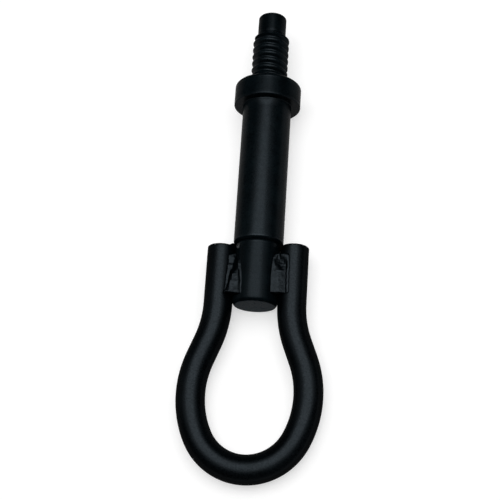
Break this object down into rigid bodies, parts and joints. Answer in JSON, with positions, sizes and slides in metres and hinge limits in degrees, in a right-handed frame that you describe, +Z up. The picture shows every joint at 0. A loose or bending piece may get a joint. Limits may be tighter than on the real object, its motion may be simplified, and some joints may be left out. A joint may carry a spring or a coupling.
{
  "type": "tow eye",
  "caption": "Screw-in vehicle tow eye: a loop of bent round bar welded to a turned shank with a seating collar, a left-hand thread and a plain pilot, coated black.",
  "frame": {"origin": "on the surface it lies on, under the middle of its bounding box", "axes": "+Y along the eye from the loop towards the thread (the shank rises 3.06 degrees towards the thread), +Z up, away from the surface, +X to the right as seen from the loop's end"},
  "size_m": [0.06, 0.2082, 0.0293],
  "materials": {
    "coat": "satin black coating",
    "weld_coat": "satin black coating over weld bead"
  },
  "bodies": {
    "root": {"shank": "coat", "loop": "coat", "weld_front_left": "weld_coat", "weld_front_right": "weld_coat", "weld_back_left": "weld_coat", "weld_back_right": "weld_coat"}
  },
  "joints": []
}
